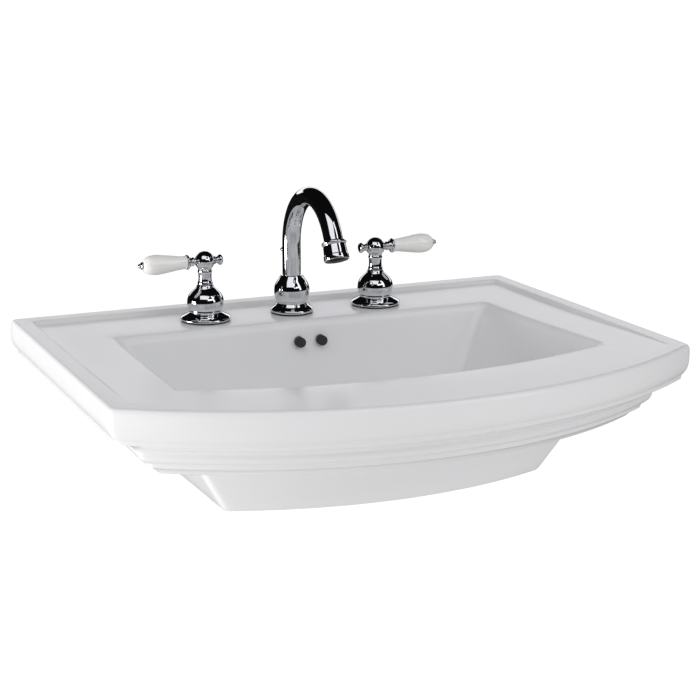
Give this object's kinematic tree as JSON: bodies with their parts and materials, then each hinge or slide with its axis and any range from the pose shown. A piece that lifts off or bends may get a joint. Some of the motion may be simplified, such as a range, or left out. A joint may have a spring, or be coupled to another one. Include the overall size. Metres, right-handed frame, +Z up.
{
  "type": "pedestal sink",
  "caption": "White china basin with a bowed, moulded front, wall and pedestal fixing, widespread lever faucet with gooseneck spout, and pop-up drain.",
  "frame": {"origin": "wall face of the basin, on the centre line, level with the two hanger-bolt holes and 95 mm below the rim top", "axes": "+Z up, -Y towards the user, +X to the user's right"},
  "size_m": [0.6224, 0.4997, 0.3401],
  "materials": {
    "vitreous_china": "white high-gloss glaze",
    "chrome": "polished",
    "lever_porcelain": "gloss glaze, slightly warm white",
    "brass": "machined",
    "rubber": "matt",
    "disc_ceramic": "lapped",
    "steel_braid": "woven wire braid",
    "grey_plastic": "moulded, dark grey"
  },
  "bodies": {
    "basin_and_fittings": {"aerator_housing": "chrome", "aerator_insert": "grey_plastic", "aerator_washer": "rubber", "basin": "vitreous_china", "cold_deck_washer": "rubber", "cold_escutcheon": "chrome", "cold_escutcheon_gasket": "rubber", "cold_hose": "steel_braid", "cold_hose_nut_tee": "chrome", "cold_hose_nut_valve": "chrome", "cold_lock_nut": "brass", "cold_seat_disc": "disc_ceramic", "cold_valve_body": "brass", "drain_body": "chrome", "drain_flange": "chrome", "drain_gasket": "rubber", "drain_lock_nut": "brass", "drain_washer": "brass", "hot_deck_washer": "rubber", "hot_escutcheon": "chrome", "hot_escutcheon_gasket": "rubber", "hot_hose": "steel_braid", "hot_hose_nut_tee": "chrome", "hot_hose_nut_valve": "chrome", "hot_lock_nut": "brass", "hot_seat_disc": "disc_ceramic", "hot_valve_body": "brass", "pivot_nut": "chrome", "spout_base": "chrome", "spout_gasket": "rubber", "spout_lock_nut": "brass", "spout_tube": "chrome", "spout_washer": "rubber", "supply_tee": "brass", "supply_tube": "brass", "tailpiece": "chrome"},
    "hot_handle": {"hot_counter_stub": "chrome", "hot_hub": "chrome", "hot_lever_collar": "chrome", "hot_lever_grip": "lever_porcelain", "hot_lever_tip": "chrome", "hot_set_screw": "brass", "hot_valve_stem": "brass"},
    "cold_handle": {"cold_counter_stub": "chrome", "cold_hub": "chrome", "cold_lever_collar": "chrome", "cold_lever_grip": "lever_porcelain", "cold_lever_tip": "chrome", "cold_set_screw": "brass", "cold_valve_stem": "brass"},
    "lift_rod_body": {"lift_knob": "chrome", "lift_rod": "chrome", "clevis_strap": "brass", "clevis_screw": "brass", "spring_clip": "chrome"},
    "pivot_rod_body": {"pivot_rod": "chrome"},
    "stopper_body": {"stopper": "chrome", "stopper_seal": "rubber"}
  },
  "joints": [
    {"name": "hot_handle_turn", "type": "hinge", "parent": "basin_and_fittings", "child": "hot_handle", "pos_m": [-0.1016, -0.072, 0.156], "axis": [0, 0, 1], "range_deg": [0, 90]},
    {"name": "cold_handle_turn", "type": "hinge", "parent": "basin_and_fittings", "child": "cold_handle", "pos_m": [0.1016, -0.072, 0.156], "axis": [0, 0, 1], "range_deg": [-90, 0]},
    {"name": "lift_rod_slide", "type": "slide", "parent": "basin_and_fittings", "child": "lift_rod_body", "axis": [0, 0, 1], "range_m": [0, 0.04]},
    {"name": "pivot_rod_tilt", "type": "hinge", "parent": "basin_and_fittings", "child": "pivot_rod_body", "pos_m": [0, -0.174, -0.071], "axis": [1, 0, 0], "range_deg": [0, 18.55]},
    {"name": "stopper_slide", "type": "slide", "parent": "basin_and_fittings", "child": "stopper_body", "axis": [0, 0, 1], "range_m": [-0.0085, 0]}
  ],
  "couplings": [
    {"joint": "pivot_rod_tilt", "follows": "lift_rod_slide", "rad_per_m": 8.0724},
    {"joint": "stopper_slide", "follows": "lift_rod_slide", "ratio": -0.21173}
  ]
}
